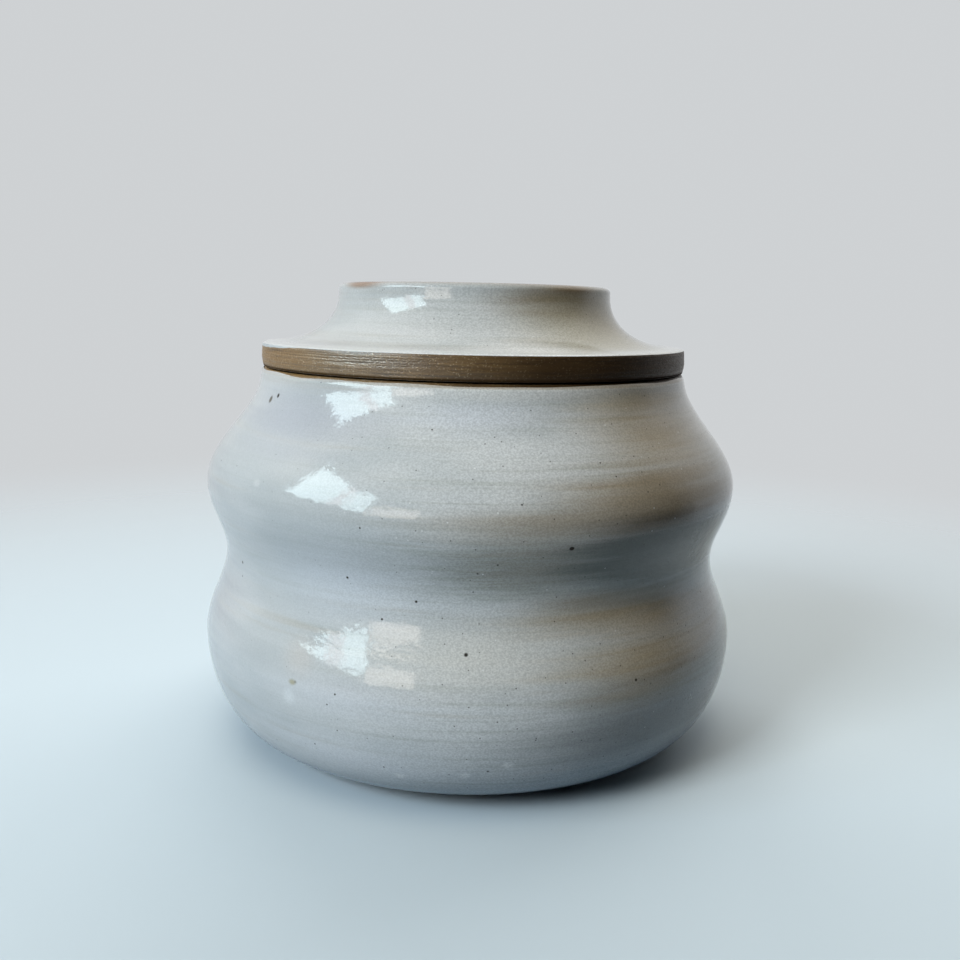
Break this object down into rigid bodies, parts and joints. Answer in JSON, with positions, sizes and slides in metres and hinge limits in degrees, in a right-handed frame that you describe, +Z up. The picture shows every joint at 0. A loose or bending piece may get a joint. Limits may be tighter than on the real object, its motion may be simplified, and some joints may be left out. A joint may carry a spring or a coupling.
{
  "type": "lidded jar",
  "caption": "Waisted round stoneware jar in pale speckled glaze, with a lift-off lid that has a flared hollow collar for a grip and a bare clay band; holds dry goods.",
  "frame": {"origin": "on the table, under the middle of the foot ring", "axes": "+Z up along the jar's axis of turning; X and Y level, with -Y towards the viewer of the picture"},
  "size_m": [0.1396, 0.1396, 0.1168],
  "materials": {
    "bare_stoneware": "matte dark brown fired clay with fine turning lines",
    "pale_glaze": "glossy pale grey-white glaze with fine iron specks and faint throwing rings",
    "liner_glaze": "glossy off-white liner glaze with fine iron specks"
  },
  "bodies": {
    "jar": {"jar_vessel": "bare_stoneware", "jar_outer_glaze": "pale_glaze", "jar_liner_glaze": "liner_glaze"},
    "lid": {"lid_cap": "bare_stoneware", "lid_top_glaze": "pale_glaze", "lid_underside_glaze": "liner_glaze"}
  },
  "joints": [
    {"name": "lid_lift", "type": "slide", "parent": "jar", "child": "lid", "axis": [0, 0, 1], "range_m": [0, 0.08]}
  ]
}
